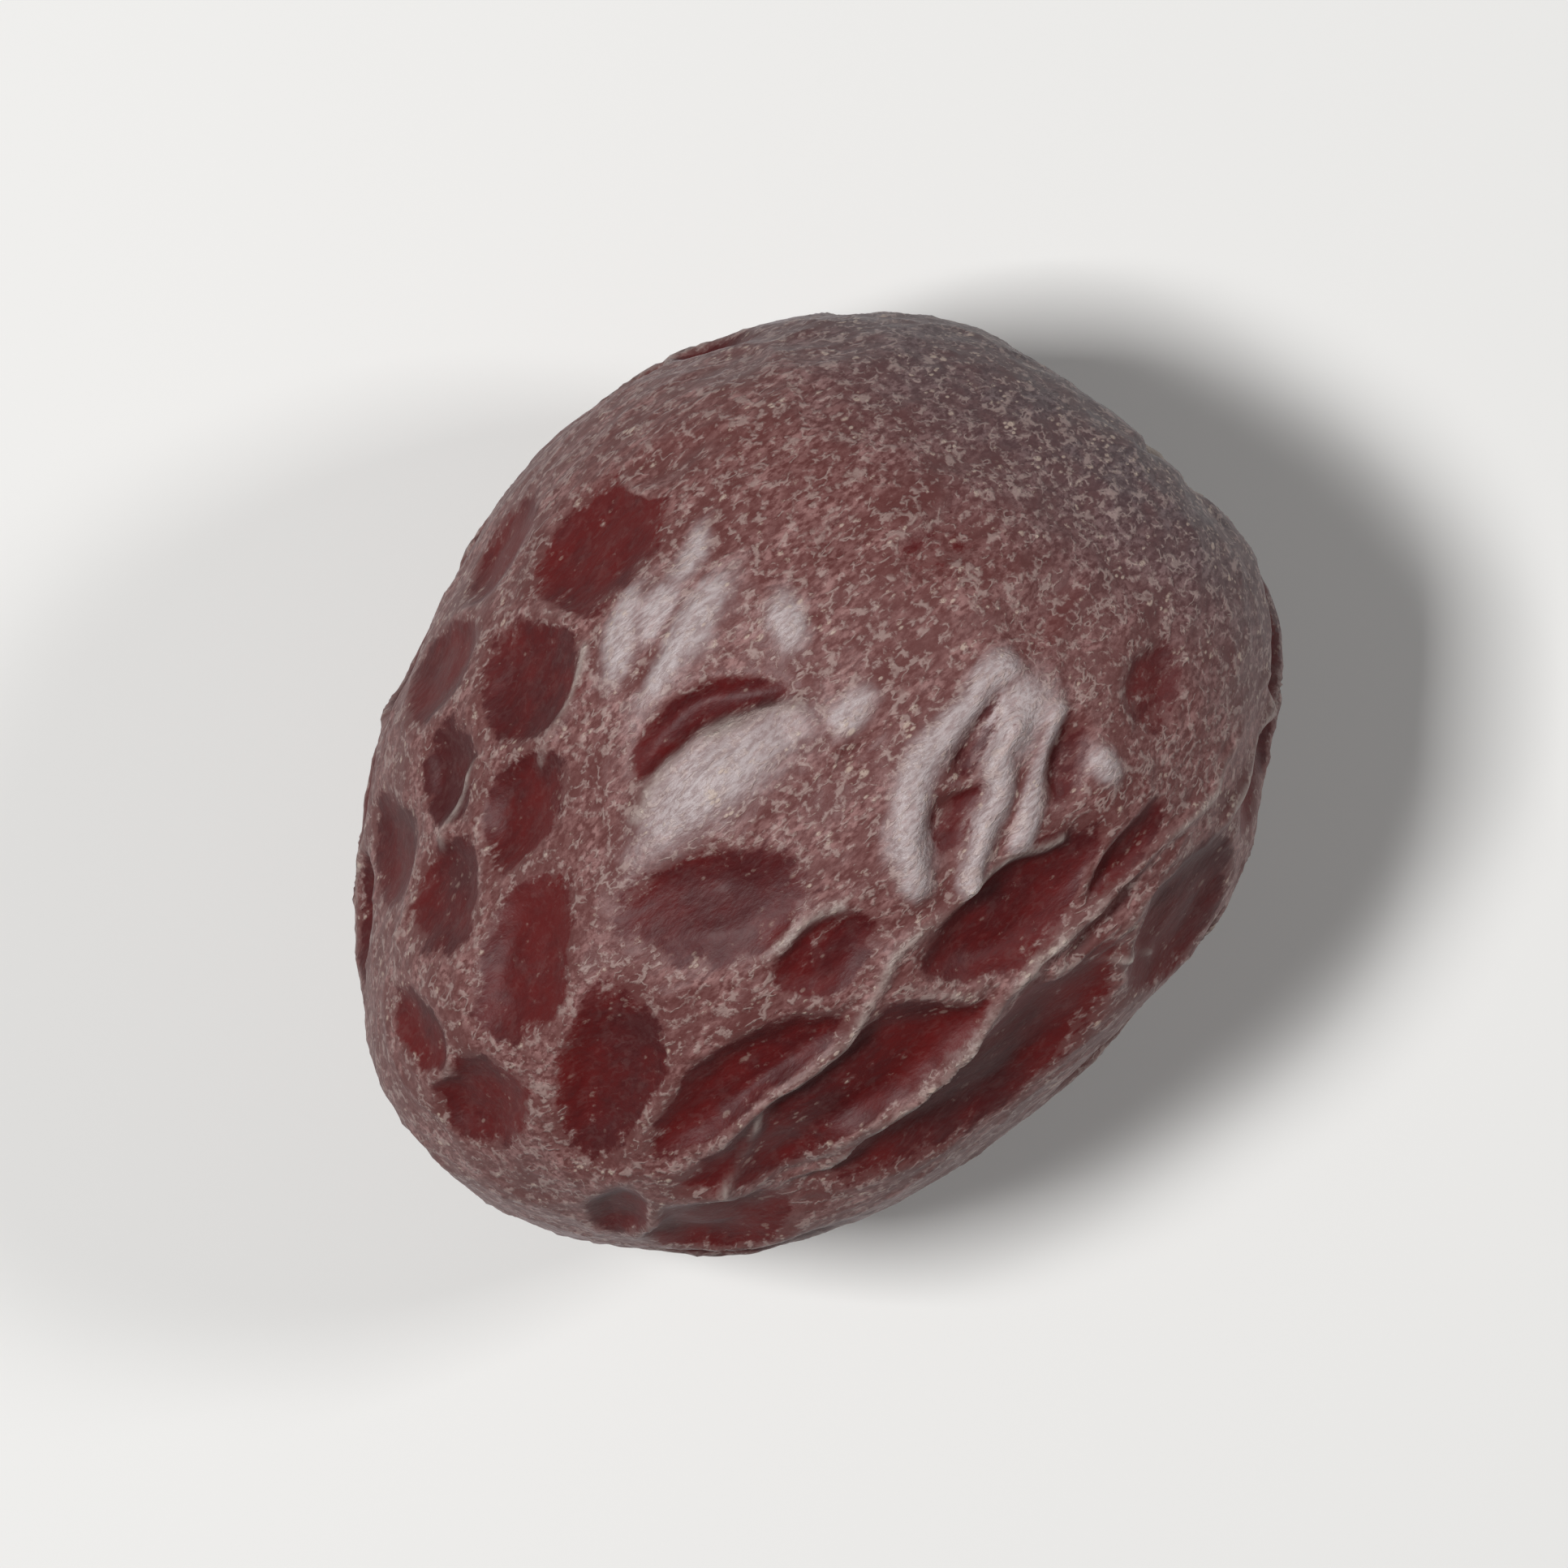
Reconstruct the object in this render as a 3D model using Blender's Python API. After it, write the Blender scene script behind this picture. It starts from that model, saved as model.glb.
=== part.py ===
"""A dried jujube lying on its side: one wrinkled fruit, with its stem end towards +X.

The body follows the fruit's outline as seen from above and is rounded above and below it.
Sunken cells with crests between them cover the skin, drawn in place on the upper side and
scattered by a seeded rule on the sides and underneath. Long sharp crests, raised folds and pale
ridges are drawn in their places. The stem end has a round scar in a shallow cavity, and the far
end a small style tip. The fruit lies on a small flat spot with three corners.
"""

import math
import random

import bmesh
import bpy
import numpy as np
from mathutils import Matrix, Vector, noise

MM = 0.001

# Points of the outline from above, going round from the stem end, as x and y in millimetres
OUTLINE = (
    (14.8, 0.3),
    (14.0, 3.2),
    (12.2, 5.9),
    (9.8, 9.0),
    (6.1, 10.9),
    (2.2, 11.7),
    (-2.0, 10.8),
    (-6.2, 9.6),
    (-9.9, 7.4),
    (-12.3, 4.5),
    (-13.8, 1.7),
    (-15.2, -1.3),
    (-13.7, -4.2),
    (-12.2, -7.1),
    (-9.4, -9.5),
    (-5.6, -10.7),
    (-1.6, -11.3),
    (2.6, -11.6),
    (6.5, -10.5),
    (9.9, -8.8),
    (12.5, -6.4),
    (14.4, -3.5),
)
OUTLINE_STEPS = 720
OUTLINE_WAVES = 9  # the outline keeps this many waves a turn and drops finer ones
HALF_HEIGHT = 11.1 * MM
BARREL = 2.2  # 2 makes the sides a plain ellipse, and more makes them squarer

# Where the fruit lies: the underside is pressed flat by this much. The flat spot has three corners,
# given as x and y in millimetres, and the skin rises from each of its sides at this slope at least.
FLAT_DEPTH = 0.85 * MM
FOOT_CORNERS = ((5.6, -0.8), (-2.4, 2.8), (-2.4, -4.2))
FOOT_SLOPE = 11.0
SMOOTH_FOOT = (7.5 * MM, 9.5 * MM)  # the wrinkles fade in between these distances from the flat spot

# The stem end: a cavity with a ringed scar in it
STEM_SIDE = 0.6 * MM
STEM_LIFT = -0.4 * MM
CAVITY_RADIUS = 3.9 * MM
CAVITY_DEPTH = 1.7 * MM
RING_RADIUS = 2.0 * MM
RING_THICK = 0.28 * MM
RING_HEIGHT = 0.30 * MM
SCAR_DEPTH = 0.45 * MM
RING_RAGGED = 0.10  # how far the ring strays from a circle, as a share of its radius
RAGGED_WAVE = 1.95 * MM
SCAR_SLOPE = 2.5  # the scar's side is this many ring thicknesses wide
STUB = (0.50 * MM, 0.35 * MM, 0.45 * MM, 0.40 * MM)  # side, lift, radius and height
STEM_CREASES = 9
CREASE_DEPTH = 0.20 * MM
CREASE_SWAY = 0.5
CREASE_NARROWNESS = 6
CREASE_PLACE = 3.8 * MM  # how far the creases lie from the scar's middle
CREASE_REACH = 1.4 * MM

# The far end: a dimple with the dried tip of the style in it
TIP_SIDE = -0.6 * MM
TIP_LIFT = -1.8 * MM
DIMPLE_RADIUS = 2.1 * MM
DIMPLE_DEPTH = 0.65 * MM
STYLE_RADIUS = 0.45 * MM
STYLE_HEIGHT = 0.50 * MM
END_FADE = (0.2, 0.6)  # an end's form fades in between these shares of the half length

# Broad hollows where the flesh has shrunk: x and y from above or below, whether the spot is on the
# upper side (1) or the lower side (-1), radius and depth, in millimetres
BROAD_DENTS = (
    (-9.0, 6.2, 1, 5.5, 0.9),
    (-7.4, -9.0, 1, 1.9, 0.9),
    (-6.0, 5.6, 1, 3.0, 0.3),
    (1.0, -10.0, -1, 5.0, 0.7),
    (6.5, 8.0, -1, 4.5, 0.8),
    (-9.0, -3.0, -1, 4.0, 0.7),
    (11.2, 1.0, 1, 3.4, 0.35),
    (3.2, -7.6, 1, 3.6, 0.3),
)

# Sunken cells on the upper side: x and y of the middle, half length and half width as seen from
# above, turn of the length from the X axis in degrees, how far the ends bow to the side, and depth,
# sizes in millimetres
TOP_CELLS = (
    (-3.9, 7.2, 1.8, 1.4, 20, 0.0, 0.38),
    (-0.1, 8.5, 2.2, 1.25, 12, 0.0, 0.33),
    (-6.7, 4.5, 1.9, 1.15, 12, 0.0, 0.38),
    (-9.8, 4.2, 1.7, 0.95, 22, 0.0, 0.32),
    (-9.1, 1.1, 2.5, 1.2, 22, 0.0, 0.42),
    (-12.6, 1.3, 0.9, 0.9, 0, 0.0, 0.30),
    (-0.7, 3.15, 2.3, 0.62, -15, -0.6, 0.42),
    (-5.6, 9.1, 1.6, 0.7, 28, 0.0, 0.36),
    (-7.7, 6.9, 1.5, 0.7, 22, 0.0, 0.32),
    (-2.3, 10.2, 1.8, 0.5, 12, 0.0, 0.30),
    (-10.4, 6.2, 1.6, 0.7, 38, 0.0, 0.34),
    (5.3, 4.3, 1.0, 0.6, 0, 0.0, 0.17),
    (7.5, 2.4, 1.6, 0.8, 5, 0.0, 0.20),
    (9.2, 4.4, 1.1, 0.8, -20, 0.0, 0.10),
    (6.2, 9.8, 1.3, 0.5, -12, 0.0, 0.14),
    (3.2, 8.9, 1.3, 0.45, 0, 0.0, 0.12),
    (8.3, 8.6, 1.2, 0.5, -32, 0.0, 0.11),
    (-12.6, -1.2, 1.5, 1.1, 80, 0.0, 0.48),
    (-9.2, -3.05, 2.8, 1.25, 41, 0.0, 0.44),
    (-3.9, -1.2, 2.5, 1.45, -30, 0.0, 0.34),
    (-2.5, -4.2, 1.4, 0.95, -5, 0.0, 0.30),
    (-6.3, -5.5, 3.4, 1.1, 0, -0.6, 0.46),
    (-4.7, -7.8, 4.9, 1.35, 5, 0.0, 0.60),
    (-11.4, -6.2, 0.9, 0.7, -25, 0.0, 0.36),
    (-9.8, -8.3, 2.2, 0.8, -20, 0.0, 0.56),
    (-1.3, -9.8, 5.2, 1.05, 0, 0.0, 0.66),
    (2.1, -6.85, 3.4, 1.15, 3, 0.0, 0.56),
    (5.8, -7.5, 1.6, 0.55, 4, 0.0, 0.30),
    (4.0, -8.6, 1.8, 0.3, 2, 0.0, 0.20),
    (5.8, -9.9, 2.5, 0.75, 6, 0.0, 0.46),
    (2.7, -3.7, 1.3, 0.65, 12, 0.0, 0.26),
    (4.7, -2.3, 1.5, 0.5, 24, 0.0, 0.26),
    (5.9, -4.5, 1.3, 0.65, 30, 0.0, 0.26),
    (9.4, -4.5, 1.4, 0.75, 8, 0.0, 0.24),
    (8.3, -0.7, 1.3, 0.7, 0, 0.0, 0.18),
    (1.8, -0.8, 0.8, 0.45, 0, 0.0, 0.14),
)

# Raised folds on the upper side, in the same terms, with their height last
TOP_FOLDS = (
    (-1.6, 1.6, 3.2, 1.1, -2, -0.5, 0.38),
    (2.7, 3.4, 0.9, 0.5, 62, 0.0, 0.24),
    (-0.9, 6.1, 1.6, 0.42, 28, 0.0, 0.18),
    (0.2, 5.9, 0.9, 0.45, 20, 0.0, 0.16),
    (0.9, 5.0, 1.6, 0.55, 24, 0.0, 0.18),
    (1.8, 6.6, 1.2, 0.38, 28, 0.0, 0.10),
    (-0.6, 4.7, 1.6, 0.40, 14, 0.0, 0.12),
    (2.4, 0.3, 0.8, 0.5, 10, 0.0, 0.14),
    (1.3, -3.6, 1.2, 0.6, 50, 0.0, 0.12),
    (5.8, -2.6, 1.4, 0.9, 18, 0.0, 0.26),
    (6.7, -5.2, 0.6, 0.5, 0, 0.0, 0.24),
)

# Crests on the upper side, each as its height, how far it reaches to the sides, and then points
# seen from above, in millimetres
TOP_CRESTS = (
    (0.22, 0.22, (-8.8, -7.7), (-6.5, -6.7), (-3.8, -6.8), (-1.2, -5.5), (2.0, -5.5), (4.5, -5.9)),
    (0.34, 0.20, (-7.6, -8.8), (-6.1, -9.15), (-2.2, -8.8), (0.0, -8.4), (2.0, -8.1), (6.0, -8.0)),
    (0.18, 0.20, (6.0, -8.0), (7.5, -7.8), (9.0, -7.5), (12.0, -6.4)),
    (0.14, 0.20, (2.2, -8.7), (3.2, -9.3), (4.1, -9.9), (4.6, -10.4)),
    (0.18, 0.20, (3.2, -9.3), (5.2, -8.9), (9.0, -8.4), (11.5, -7.2), (12.9, -5.6)),
    (0.18, 0.20, (-11.5, 4.0), (-9.2, 5.5), (-7.0, 6.5)),
    (0.16, 0.20, (-5.4, 5.2), (-3.5, 5.7), (-1.9, 6.5)),
    (0.14, 0.20, (-3.8, -3.1), (-2.5, -3.2), (-1.3, -3.6)),
    (0.16, 0.30, (-4.0, 2.1), (-3.1, 2.5), (-2.0, 2.65), (-0.4, 2.5), (0.5, 2.0), (1.4, 1.4)),
)

# Rounded pale ridges on the upper side, in the same terms
TOP_RIDGES = (
    (0.34, 0.50, (0.7, -4.4), (1.3, -3.5), (2.2, -2.6), (3.2, -1.9), (4.5, -1.4), (6.5, -1.2)),
    (0.36, 0.44, (1.9, -5.3), (2.7, -4.8), (3.3, -4.3), (3.9, -4.0), (4.5, -3.0), (5.2, -2.7)),
    (0.28, 0.34, (3.7, -5.4), (4.3, -4.8), (5.0, -4.2), (5.9, -3.7), (6.6, -3.2)),
)

# Cells everywhere else, spread evenly and then drawn within these limits, in millimetres and degrees
SEED = 21
SPREAD_CELLS = 130
CELL_JITTER = 1.1
HALF_LENGTHS = (2.2, 4.2)
HALF_WIDTHS = (1.05, 1.75)
TURN_SPREAD = 20.0
DEPTHS = (0.34, 0.72)
TOP_EDGE = 0.12  # a surface facing up by more than this share belongs to the drawn cells
CLEAR_OF_ENDS = 4.6 * MM

# The form of a cell's edge
CREST_SHARPNESS = 0.34  # how far two floors keep from each other, in shares of a cell's half size
LIP_HEIGHT = 0.07 * MM
LIP_WIDTH = 0.20
RIM = (0.42, 1.25)  # the floor rises to the skin between these shares of a cell's half sizes
MOST_BOW = 2.0  # the bow of an oval stops growing at this share
STEEPEST = 0.42  # how far a half width seen from above is stretched on a slope, as the least cosine
WANDERS = ((2.6 * MM, 0.35 * MM), (0.9 * MM, 0.12 * MM))  # wave and reach of the crooked outlines
SWELLS = ((6.0 * MM, 0.30 * MM), (2.2 * MM, 0.09 * MM))  # wave and height of the uneven body

# Small lengthwise wrinkles all over the skin
RIPPLE_WAVE = 1.8 * MM
RIPPLE_STRETCH = 2.2
RIPPLE_HEIGHT = 0.08 * MM
RIPPLE_NARROWNESS = 0.15

# The mesh: a fine sphere, thinned out where the surface is plain
SEGMENTS = 480
RINGS = 264
FACES_KEPT = 11200
SLIVER = 0.03 * MM  # a point nearer to a cut than this goes with what is cut off

SKIN_COLOUR = (0.085, 0.018, 0.017, 1.0)
SKIN_ROUGHNESS = 0.42


def unit(vectors):
    """The rows of an array, each made one long."""
    return vectors / np.linalg.norm(vectors, axis=-1, keepdims=True)


def smooth_step(low, high, values):
    """0 below low and 1 above high, with a smooth rise between."""
    share = np.clip((values - low) / (high - low), 0, 1)
    return share * share * (3 - 2 * share)


def outline_radius(angles):
    """The outline's distance from the middle at angles seen from above."""
    x, y = np.array(OUTLINE).T * MM
    around = np.linspace(0, 2 * math.pi, OUTLINE_STEPS, endpoint=False)
    radii = np.interp(around, np.arctan2(y, x), np.hypot(x, y), period=2 * math.pi)
    waves = np.fft.rfft(radii)
    waves[OUTLINE_WAVES + 1:] = 0
    smoothed = np.fft.irfft(waves, OUTLINE_STEPS)
    return np.interp(angles, around, smoothed, period=2 * math.pi)


def body_points(directions):
    """Where lines from the middle leave the plain rounded body."""
    x, y, z = directions.T
    radius = outline_radius(np.arctan2(y, x))
    filled = (np.hypot(x, y) / radius) ** BARREL + (np.abs(z) / HALF_HEIGHT) ** BARREL
    return directions * (filled ** (-1 / BARREL))[:, None]


def body_normals(points):
    """The outward directions of the plain body at points on it."""
    x, y, z = points.T
    angles = np.arctan2(y, x)
    from_axis = np.maximum(np.hypot(x, y), 1e-9)
    radius = outline_radius(angles)
    step = 2 * math.pi / OUTLINE_STEPS
    growth = (outline_radius(angles + step) - outline_radius(angles - step)) / (2 * step)
    outward = (from_axis / radius) ** (BARREL - 1) / radius
    sideways = -outward * growth / radius
    upward = np.sign(z) * (np.abs(z) / HALF_HEIGHT) ** (BARREL - 1) / HALF_HEIGHT
    slope_x = outward * np.cos(angles) - sideways * np.sin(angles)
    slope_y = outward * np.sin(angles) + sideways * np.cos(angles)
    return unit(np.stack((slope_x, slope_y, upward), axis=1))


def on_body(x, y, side):
    """The point of the plain body at x and y, on its upper side (1) or lower side (-1)."""
    radius = outline_radius(math.atan2(y, x))
    filled = min(math.hypot(x, y) / radius, 1.0) ** BARREL
    height = HALF_HEIGHT * (1 - filled) ** (1 / BARREL)
    return body_points(unit(np.array([[x, y, side * height]])))[0]


def spot(middle, half_length, half_width, turn, bow, size):
    """An oval on the body: its middle, the axes of its length, width and depth, and its sizes."""
    normal = body_normals(middle[None])[0]
    sideways = unit(np.cross(normal, (1, 0, 0)))
    lengthways = np.cross(sideways, normal)
    angle = math.radians(turn)
    length_axis = lengthways * math.cos(angle) + sideways * math.sin(angle)
    width_axis = np.cross(normal, length_axis)
    axes = np.stack((length_axis, width_axis, normal))
    return middle, axes, (half_length, half_width, half_length), bow, size


def drawn_spots(rows):
    """The ovals of a table whose places and half widths are as seen from above."""
    spots = []
    for x, y, half_length, half_width, turn, bow, size in rows:
        middle = on_body(x * MM, y * MM, 1)
        slope = max(body_normals(middle[None])[0][2], STEEPEST)
        half_sizes = half_length * MM, half_width * MM / slope
        spots.append(spot(middle, *half_sizes, turn, bow * MM, size * MM))
    return spots


def scattered_cells():
    """Seeded cells over the sides, the ends and the underside, clear of both ends."""
    draw = random.Random(SEED)
    golden_angle = math.pi * (3 - math.sqrt(5))
    spots = []
    for i in range(SPREAD_CELLS):
        along = 1 - 2 * (i + 0.5) / SPREAD_CELLS
        around = i * golden_angle
        ring = math.sqrt(1 - along * along)
        direction = np.array([[along, ring * math.cos(around), ring * math.sin(around)]])
        jitter = np.array([draw.gauss(0, 1) for _ in range(3)]) * CELL_JITTER * MM
        middle = body_points(unit(body_points(direction) + jitter))[0]
        half_length = draw.uniform(*HALF_LENGTHS) * MM
        half_width = draw.uniform(*HALF_WIDTHS) * MM
        turn = draw.gauss(0, TURN_SPREAD)
        depth = draw.uniform(*DEPTHS) * MM
        from_axis = math.hypot(middle[1], middle[2])
        if body_normals(middle[None])[0][2] > TOP_EDGE or from_axis < CLEAR_OF_ENDS:
            continue
        spots.append(spot(middle, half_length, half_width, turn, 0, depth))
    return spots


def oval_distance(points, middle, axes, half_sizes, bow):
    """How far points are from an oval's middle, where 1 is its edge."""
    places = (points - middle) @ axes.T
    places[:, 1] -= bow * np.minimum((places[:, 0] / half_sizes[0]) ** 2, MOST_BOW)
    return np.linalg.norm(places / half_sizes, axis=1)


def wandered(points):
    """The points moved a little by smooth noise, which makes straight outlines crooked."""
    noise.seed_set(SEED)  # without this the noise takes its seed from the clock
    moved = points.copy()
    for wave, reach in WANDERS:
        moved += reach * np.array([noise.noise_vector(Vector(p) / wave) for p in points])
    return moved


def cell_relief(points, cells):
    """The height of the cells' floors and lips, from a point's nearest and next nearest cell."""
    nearest = np.full(len(points), np.inf)
    second = np.full(len(points), np.inf)
    depth = np.zeros(len(points))
    for middle, axes, half_sizes, bow, cell_depth in cells:
        distance = oval_distance(points, middle, axes, half_sizes, bow)
        closer = distance < nearest
        second = np.where(closer, nearest, np.minimum(second, distance))
        nearest = np.where(closer, distance, nearest)
        depth = np.where(closer, cell_depth, depth)
    gap = second - nearest
    inside = 1 - smooth_step(*RIM, nearest)
    floor = inside * (1 - np.exp(-((gap / CREST_SHARPNESS) ** 2)))
    lip = inside * np.exp(-((gap / LIP_WIDTH) ** 2))
    return LIP_HEIGHT * lip - depth * floor


def fold_relief(points, folds):
    """The height of the raised folds."""
    height = np.zeros(len(points))
    for middle, axes, half_sizes, bow, fold_height in folds:
        distance = oval_distance(points, middle, axes, half_sizes, bow)
        height += fold_height * np.exp(-distance * distance)
    return height


def crest_relief(points, crests):
    """The height of crests that run along lines on the body."""
    height = np.zeros(len(points))
    for crest_height, reach, *corners in crests:
        line = [on_body(x * MM, y * MM, 1) for x, y in corners]
        distance = np.full(len(points), np.inf)
        for start, end in zip(line, line[1:]):
            along = end - start
            part = np.clip((points - start) @ along / (along @ along), 0, 1)
            to_line = points - start - part[:, None] * along
            distance = np.minimum(distance, np.linalg.norm(to_line, axis=1))
        rise = np.exp(-((distance / (reach * MM)) ** 2))
        height = np.maximum(height, crest_height * MM * rise)
    return height


def ripple_relief(points):
    """The height of the small lengthwise wrinkles, whose tops are narrow and hollows wide."""
    squeezed = points / (RIPPLE_STRETCH, 1, 1) / RIPPLE_WAVE
    waves = np.array([noise.noise(Vector(p)) for p in squeezed])
    return RIPPLE_HEIGHT * np.exp(-np.abs(waves) / RIPPLE_NARROWNESS)


def broad_relief(points):
    """The height of the broad hollows and of the uneven swells."""
    height = np.zeros(len(points))
    for x, y, side, radius, depth in BROAD_DENTS:
        middle = on_body(x * MM, y * MM, side)
        distance = np.linalg.norm(points - middle, axis=1) / (radius * MM)
        height -= depth * MM * np.exp(-distance * distance)
    for wave, swell in SWELLS:
        height += swell * np.array([noise.noise(Vector(p) / wave) for p in points])
    return height


def stem_end(points):
    """How far the stem end's cavity, ring, scar, stub and creases move points along X."""
    side = points[:, 1] - STEM_SIDE
    lift = points[:, 2] - STEM_LIFT
    from_axis = np.hypot(side, lift)
    uneven = np.array([noise.noise(Vector((0, *p)) / RAGGED_WAVE) for p in points[:, 1:]])
    ragged = from_axis * (1 + RING_RAGGED * uneven)
    cavity = -CAVITY_DEPTH * np.exp(-((from_axis / CAVITY_RADIUS) ** 2))
    ring = RING_HEIGHT * np.exp(-(((ragged - RING_RADIUS) / RING_THICK) ** 2))
    scar = -SCAR_DEPTH * (1 - smooth_step(RING_RADIUS - SCAR_SLOPE * RING_THICK, RING_RADIUS, ragged))
    stub_side, stub_lift, stub_radius, stub_height = STUB
    from_stub = np.hypot(side - stub_side, lift - stub_lift)
    stub = stub_height * np.exp(-((from_stub / stub_radius) ** 2))
    turn = np.arctan2(lift, side) + CREASE_SWAY * uneven
    folds = np.abs(np.cos(turn * STEM_CREASES / 2)) ** CREASE_NARROWNESS
    reach = np.exp(-(((from_axis - CREASE_PLACE) / CREASE_REACH) ** 2))
    return cavity + ring + scar + stub - CREASE_DEPTH * folds * reach


def tip_end(points):
    """How far the far end's dimple and style move points along X, towards the middle and out."""
    from_axis = np.hypot(points[:, 1] - TIP_SIDE, points[:, 2] - TIP_LIFT)
    dimple = DIMPLE_DEPTH * np.exp(-((from_axis / DIMPLE_RADIUS) ** 2))
    style = -STYLE_HEIGHT * np.exp(-((from_axis / STYLE_RADIUS) ** 2))
    return dimple + style


def fruit_surface(directions):
    """The surface in the given directions, with the plane of its flat spot at the height 0."""
    points = body_points(directions)
    normals = body_normals(points)
    crooked = wandered(points)
    wrinkles = cell_relief(crooked, drawn_spots(TOP_CELLS) + scattered_cells())
    wrinkles += fold_relief(crooked, drawn_spots(TOP_FOLDS))
    wrinkles += crest_relief(crooked, TOP_CRESTS) + crest_relief(crooked, TOP_RIDGES)
    wrinkles += ripple_relief(crooked)
    from_foot = np.linalg.norm(points - (0, 0, -HALF_HEIGHT), axis=1)
    wrinkles *= smooth_step(*SMOOTH_FOOT, from_foot)
    half_length = points[:, 0].max()
    at_stem = smooth_step(*END_FADE, points[:, 0] / half_length)
    at_tip = smooth_step(*END_FADE, -points[:, 0] / half_length)
    finished = points + normals * (wrinkles + broad_relief(points))[:, None]
    finished[:, 0] += at_stem * stem_end(points) + at_tip * tip_end(points)
    middle = (finished.min(axis=0) + finished.max(axis=0)) / 2
    return finished - (middle[0], middle[1], finished[:, 2].min() + FLAT_DEPTH)


def clear_scene():
    """Removes every object of the startup scene."""
    for item in list(bpy.data.objects):
        bpy.data.objects.remove(item, do_unlink=True)


def skin_material():
    """The dark red-brown skin."""
    material = bpy.data.materials.new("jujube_skin")
    material.use_nodes = True
    shader = material.node_tree.nodes["Principled BSDF"]
    shader.inputs["Base Color"].default_value = SKIN_COLOUR
    shader.inputs["Roughness"].default_value = SKIN_ROUGHNESS
    shader.inputs["Metallic"].default_value = 0.0
    return material


def fruit_mesh():
    """A sphere with its poles at the fruit's two ends, moved onto the fruit's surface."""
    ball = bmesh.new()
    upright_to_lying = Matrix.Rotation(math.radians(90), 4, "Y")
    bmesh.ops.create_uvsphere(
        ball, u_segments=SEGMENTS, v_segments=RINGS, radius=1, matrix=upright_to_lying
    )
    mesh = bpy.data.meshes.new("jujube")
    ball.to_mesh(mesh)
    ball.free()
    coordinates = np.empty(len(mesh.vertices) * 3)
    mesh.vertices.foreach_get("co", coordinates)
    surface = fruit_surface(unit(coordinates.reshape(-1, 3)))
    mesh.vertices.foreach_set("co", surface.ravel())
    mesh.update()
    mesh.shade_smooth()
    return mesh


def thinned(mesh):
    """The mesh with fewer faces, most of them left where the surface bends.

    The thinning takes steps far below a millimetre for none if the mesh is in metres, so it is
    done in millimetres.
    """
    mesh.transform(Matrix.Scale(1 / MM, 4))
    fruit = bpy.data.objects.new("jujube", mesh)
    bpy.context.scene.collection.objects.link(fruit)
    mesh.calc_loop_triangles()
    thinning = fruit.modifiers.new("thinning", "DECIMATE")
    thinning.ratio = FACES_KEPT / len(mesh.loop_triangles)
    graph = bpy.context.evaluated_depsgraph_get()
    thin = bpy.data.meshes.new_from_object(fruit.evaluated_get(graph))
    bpy.data.objects.remove(fruit, do_unlink=True)
    thin.transform(Matrix.Scale(MM, 4))
    return thin


def foot_planes():
    """A point and an outward direction for each plane that the underside is pressed flat by."""
    corners = [Vector((x * MM, y * MM, 0)) for x, y in FOOT_CORNERS]
    down = Vector((0, 0, -1))
    slope = math.radians(FOOT_SLOPE)
    planes = []
    for start, end in zip(corners, corners[1:] + corners[:1]):
        outward = down.cross(end - start).normalized()
        planes.append((start, outward * math.sin(slope) + down * math.cos(slope)))
    planes.append((Vector((0, 0, 0)), down))
    return planes


def cut_foot(mesh):
    """Cuts the flat spot with its three corners and the facet on each of its sides."""
    solid = bmesh.new()
    solid.from_mesh(mesh)
    for point, direction in foot_planes():
        for vert in solid.verts:
            height = (vert.co - point).dot(direction)
            if abs(height) < SLIVER:
                vert.co += direction * (SLIVER - height)
        everything = solid.verts[:] + solid.edges[:] + solid.faces[:]
        cut = bmesh.ops.bisect_plane(
            solid, geom=everything, plane_co=point, plane_no=direction, clear_outer=True
        )
        rim = [part for part in cut["geom_cut"] if isinstance(part, bmesh.types.BMEdge)]
        bmesh.ops.contextual_create(solid, geom=rim)
    bmesh.ops.triangulate(solid, faces=solid.faces[:])
    bmesh.ops.recalc_face_normals(solid, faces=solid.faces[:])
    solid.to_mesh(mesh)
    solid.free()


def build_fruit():
    """The fruit, thinned out to a size that stays easy to handle and cut flat to lie on."""
    mesh = thinned(fruit_mesh())
    mesh.name = "jujube"
    cut_foot(mesh)
    mesh.materials.clear()
    mesh.materials.append(skin_material())
    mesh.shade_smooth()
    fruit = bpy.data.objects.new("jujube", mesh)
    collection = bpy.data.collections.new("jujube")
    bpy.context.scene.collection.children.link(collection)
    collection.objects.link(fruit)


clear_scene()
build_fruit()
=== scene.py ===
import math
import random

import bmesh
import bpy
import numpy as np
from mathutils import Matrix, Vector, noise


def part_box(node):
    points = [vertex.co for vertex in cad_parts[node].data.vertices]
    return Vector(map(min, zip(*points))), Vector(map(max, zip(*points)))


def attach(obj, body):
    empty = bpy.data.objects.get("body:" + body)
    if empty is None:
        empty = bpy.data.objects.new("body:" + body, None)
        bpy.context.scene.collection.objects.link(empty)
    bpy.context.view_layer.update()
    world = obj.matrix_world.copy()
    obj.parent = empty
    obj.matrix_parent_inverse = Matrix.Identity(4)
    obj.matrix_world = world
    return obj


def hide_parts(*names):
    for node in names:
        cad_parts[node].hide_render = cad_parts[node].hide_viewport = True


# The look of a dried jujube lying on its side, with its stem end towards +X. One fine mesh stands
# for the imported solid. It repeats the solid's formula and adds finer wrinkles, and it carries
# numbers for its material, such as where the clean cell floors and the pale crest lines are.

MM = 0.001

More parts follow.
